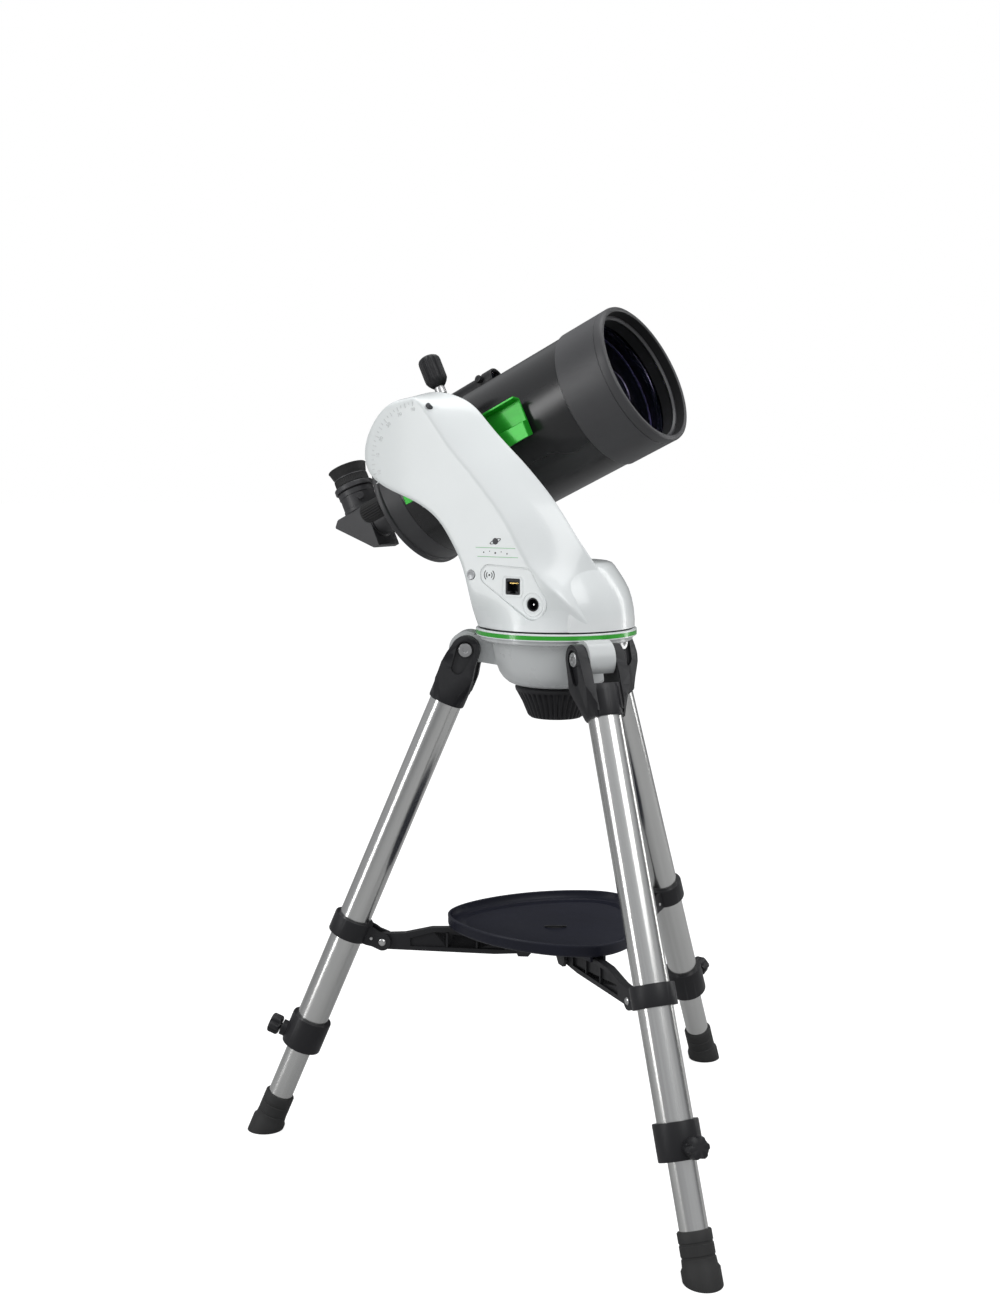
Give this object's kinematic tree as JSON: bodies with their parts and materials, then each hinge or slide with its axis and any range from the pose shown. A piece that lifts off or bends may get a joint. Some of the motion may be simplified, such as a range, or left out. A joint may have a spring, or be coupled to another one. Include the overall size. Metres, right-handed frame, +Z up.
{
  "type": "maksutov telescope",
  "caption": "Maksutov telescope with a star diagonal and red dot finder on a single-arm motorised altazimuth head, standing on a folding tripod with an accessory tray.",
  "frame": {"origin": "on the ground, under the middle of the tripod's footprint", "axes": "+Z up; -X along leg 3's direction, so the three legs stand at headings 180, 300 and 60 degrees; the tube points between +X and -Y"},
  "size_m": [0.4842, 0.554, 0.8318],
  "materials": {
    "arm_white": "gloss white moulded plastic",
    "arm_side": "satin pale grey-green white plastic",
    "hub_grey": "light grey moulded plastic",
    "trim_green": "gloss green trim",
    "green_metal": "bright green anodised aluminium",
    "tube_black": "gloss black enamel",
    "cell_black": "satin black paint",
    "baffle_black": "matt black",
    "lens_coated": "coated optical glass",
    "prism_glass": "polished glass",
    "mirror_face": "aluminised mirror",
    "black_plastic": "matt black moulded plastic",
    "tray_plastic": "dark blue-black moulded plastic",
    "knob_rubber": "soft black rubber",
    "leg_steel": "brushed stainless tube",
    "chrome_steel": "bright plated steel",
    "saddle_metal": "cast aluminium",
    "motor_metal": "motor can",
    "brass_gear": "machined brass",
    "board_green": "circuit board",
    "panel_grey": "pale grey panel"
  },
  "bodies": {
    "tripod": {"tripod_hub": "hub_grey", "trim_ring": "trim_green", "azimuth_motor": "motor_metal", "hinge_bolts": "chrome_steel"},
    "arm": {"turntable": "saddle_metal", "azimuth_shaft": "chrome_steel", "azimuth_wheel": "brass_gear", "arm_shell": "arm_white", "arm_side_cover": "arm_side", "arm_rear_cover": "arm_white", "port_panel": "panel_grey", "sockets": "black_plastic", "circuit_board": "board_green", "altitude_motor": "motor_metal"},
    "telescope": {"altitude_shaft": "chrome_steel", "altitude_wheel": "brass_gear", "saddle": "saddle_metal", "dovetail_bar": "green_metal", "main_tube": "tube_black", "front_cell": "cell_black", "corrector_lens": "lens_coated", "secondary_baffle": "baffle_black", "rear_cell": "cell_black", "baffle_tube": "baffle_black", "visual_back": "cell_black", "finder_shoe": "black_plastic", "finder_body": "black_plastic"},
    "clamp": {"clamp_knob": "black_plastic"},
    "focuser": {"focus_knob": "knob_rubber"},
    "mirror": {"primary_mirror": "mirror_face"},
    "diagonal": {"diagonal_housing": "cell_black", "diagonal_prism": "prism_glass"},
    "eyepiece_set": {"eyepiece": "cell_black", "eyecup": "knob_rubber"},
    "finder_switch": {"finder_dial": "black_plastic"},
    "hub_clamp": {"hub_knob": "black_plastic"},
    "power_switch": {"power_button": "black_plastic"},
    "spreader_centre": {"spreader_hub": "black_plastic", "tray": "tray_plastic"},
    "leg_1": {"leg_yoke_1": "black_plastic", "upper_leg_1": "leg_steel", "leg_collars_1": "black_plastic"},
    "spreader_1": {"spreader_arm_1": "black_plastic"},
    "lower_1": {"lower_leg_1": "leg_steel", "rubber_foot_1": "knob_rubber"},
    "lock_1": {"lock_screw_1": "black_plastic"},
    "leg_2": {"leg_yoke_2": "black_plastic", "upper_leg_2": "leg_steel", "leg_collars_2": "black_plastic"},
    "spreader_2": {"spreader_arm_2": "black_plastic"},
    "lower_2": {"lower_leg_2": "leg_steel", "rubber_foot_2": "knob_rubber"},
    "lock_2": {"lock_screw_2": "black_plastic"},
    "leg_3": {"leg_yoke_3": "black_plastic", "upper_leg_3": "leg_steel", "leg_collars_3": "black_plastic"},
    "spreader_3": {"spreader_arm_3": "black_plastic"},
    "lower_3": {"lower_leg_3": "leg_steel", "rubber_foot_3": "knob_rubber"},
    "lock_3": {"lock_screw_3": "black_plastic"}
  },
  "joints": [
    {"name": "azimuth_turn", "type": "hinge", "parent": "tripod", "child": "arm", "pos_m": [0.07528, 0, 0.52018], "axis": [0, 0, 1], "continuous": true},
    {"name": "altitude_tilt", "type": "hinge", "parent": "arm", "child": "telescope", "pos_m": [-0.03076, 0.04945, 0.68547], "axis": [-0.4226, -0.9063, 0], "range_deg": [-30, 55]},
    {"name": "clamp_knob_turn", "type": "hinge", "parent": "telescope", "child": "clamp", "pos_m": [-0.05028, 0.04255, 0.76685], "axis": [-0.383, 0.1786, 0.9063], "range_deg": [0, 720]},
    {"name": "focus_turn", "type": "hinge", "parent": "telescope", "child": "focuser", "pos_m": [-0.11919, 0.12114, 0.63839], "axis": [-0.8214, 0.383, -0.4226], "range_deg": [-1800, 1800]},
    {"name": "mirror_slide", "type": "slide", "parent": "telescope", "child": "mirror", "axis": [0.8214, -0.383, 0.4226], "range_m": [-0.00375, 0.00375]},
    {"name": "diagonal_turn", "type": "hinge", "parent": "telescope", "child": "diagonal", "pos_m": [-0.10981, 0.15869, 0.63053], "axis": [-0.8214, 0.383, -0.4226], "range_deg": [-90, 90]},
    {"name": "eyepiece_slide", "type": "slide", "parent": "diagonal", "child": "eyepiece_set", "axis": [-0.383, 0.1786, 0.9063], "range_m": [0, 0.012]},
    {"name": "finder_dial_turn", "type": "hinge", "parent": "telescope", "child": "finder_switch", "pos_m": [-0.03213, 0.1744, 0.74461], "axis": [0.5353, 0.7734, -0.3395], "range_deg": [0, 270]},
    {"name": "hub_knob_turn", "type": "hinge", "parent": "tripod", "child": "hub_clamp", "pos_m": [0.07528, 0, 0.45017], "axis": [0, 0, -1], "range_deg": [0, 720]},
    {"name": "power_press", "type": "slide", "parent": "arm", "child": "power_switch", "axis": [0.4226, 0.9063, 0], "range_m": [0, 0.0015], "stiffness_N_per_m": 600},
    {"name": "leg_1_fold", "type": "hinge", "parent": "tripod", "child": "leg_1", "pos_m": [0.11828, -0.07448, 0.50167], "axis": [0.866, 0.5, 0], "range_deg": [0, 8]},
    {"name": "spreader_1_fold", "type": "hinge", "parent": "leg_1", "child": "spreader_1", "pos_m": [0.16189, -0.15, 0.20409], "axis": [0.866, 0.5, 0], "range_deg": [0, 37.2]},
    {"name": "leg_1_slide", "type": "slide", "parent": "leg_1", "child": "lower_1", "axis": [0.1954, -0.3384, -0.9205], "range_m": [0, 0.3]},
    {"name": "lock_1_turn", "type": "hinge", "parent": "leg_1", "child": "lock_1", "pos_m": [0.21746, -0.24627, 0.11114], "axis": [0.4603, -0.7972, 0.3907], "range_deg": [0, 720]},
    {"name": "leg_2_fold", "type": "hinge", "parent": "tripod", "child": "leg_2", "pos_m": [0.11828, 0.07448, 0.50167], "axis": [-0.866, 0.5, 0], "range_deg": [0, 8]},
    {"name": "spreader_2_fold", "type": "hinge", "parent": "leg_2", "child": "spreader_2", "pos_m": [0.16189, 0.15, 0.20409], "axis": [-0.866, 0.5, 0], "range_deg": [0, 37.2]},
    {"name": "leg_2_slide", "type": "slide", "parent": "leg_2", "child": "lower_2", "axis": [0.1954, 0.3384, -0.9205], "range_m": [0, 0.3]},
    {"name": "lock_2_turn", "type": "hinge", "parent": "leg_2", "child": "lock_2", "pos_m": [0.21746, 0.24627, 0.11114], "axis": [0.4603, 0.7972, 0.3907], "range_deg": [0, 720]},
    {"name": "leg_3_fold", "type": "hinge", "parent": "tripod", "child": "leg_3", "pos_m": [-0.01072, 0, 0.50167], "axis": [0, -1, 0], "range_deg": [0, 8]},
    {"name": "spreader_3_fold", "type": "hinge", "parent": "leg_3", "child": "spreader_3", "pos_m": [-0.09792, 0, 0.20409], "axis": [0, -1, 0], "range_deg": [0, 37.2]},
    {"name": "leg_3_slide", "type": "slide", "parent": "leg_3", "child": "lower_3", "axis": [-0.3907, 0, -0.9205], "range_m": [0, 0.3]},
    {"name": "lock_3_turn", "type": "hinge", "parent": "leg_3", "child": "lock_3", "pos_m": [-0.20908, 0, 0.11114], "axis": [-0.9205, 0, 0.3907], "range_deg": [0, 720]},
    {"name": "spreader_lift", "type": "slide", "parent": "tripod", "child": "spreader_centre", "axis": [0, 0, 1], "range_m": [0, 0.0924]}
  ],
  "couplings": [
    {"joint": "focus_turn", "follows": "mirror_slide", "rad_per_m": 8377.5},
    {"joint": "leg_2_fold", "follows": "leg_1_fold", "ratio": 1},
    {"joint": "leg_3_fold", "follows": "leg_1_fold", "ratio": 1},
    {"joint": "spreader_lift", "follows": "leg_1_fold", "m_per_rad": 0.66134},
    {"joint": "spreader_1_fold", "follows": "leg_1_fold", "ratio": 4.6475},
    {"joint": "spreader_2_fold", "follows": "leg_1_fold", "ratio": 4.6475},
    {"joint": "spreader_3_fold", "follows": "leg_1_fold", "ratio": 4.6475}
  ]
}
